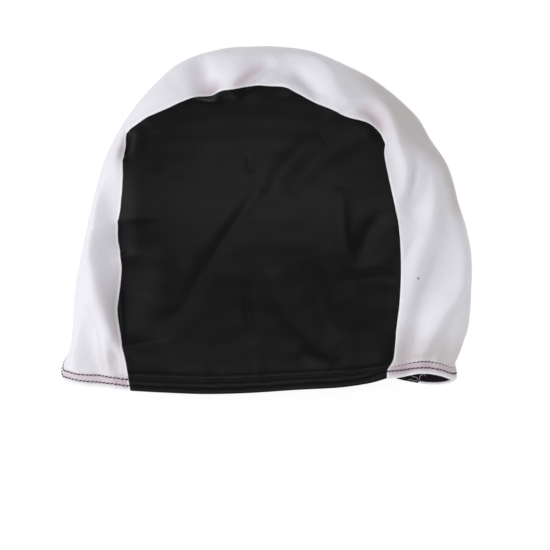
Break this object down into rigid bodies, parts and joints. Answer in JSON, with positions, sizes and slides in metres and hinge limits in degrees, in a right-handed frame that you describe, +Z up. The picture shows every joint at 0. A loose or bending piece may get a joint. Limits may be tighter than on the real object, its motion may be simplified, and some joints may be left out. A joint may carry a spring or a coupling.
{
  "type": "swim cap",
  "caption": "Soft fabric swim cap with dark side panels, a pale centre strip over the crown and a folded stitched hem, lying puffed up on one side.",
  "frame": {"origin": "centre of the footprint's bounding box, on the floor that the far side panel lies on", "axes": "+Z up off the floor, +Y towards the crown, +X to the right along the mouth as seen from above"},
  "size_m": [0.2293, 0.1936, 0.0612],
  "materials": {
    "black_knit": "matt stretch knit with a soft sheen",
    "white_knit": "pearly satin stretch knit, lilac white"
  },
  "bodies": {
    "root": {"near_side_panel": "black_knit", "far_side_panel": "black_knit", "centre_strip": "white_knit"}
  },
  "joints": []
}
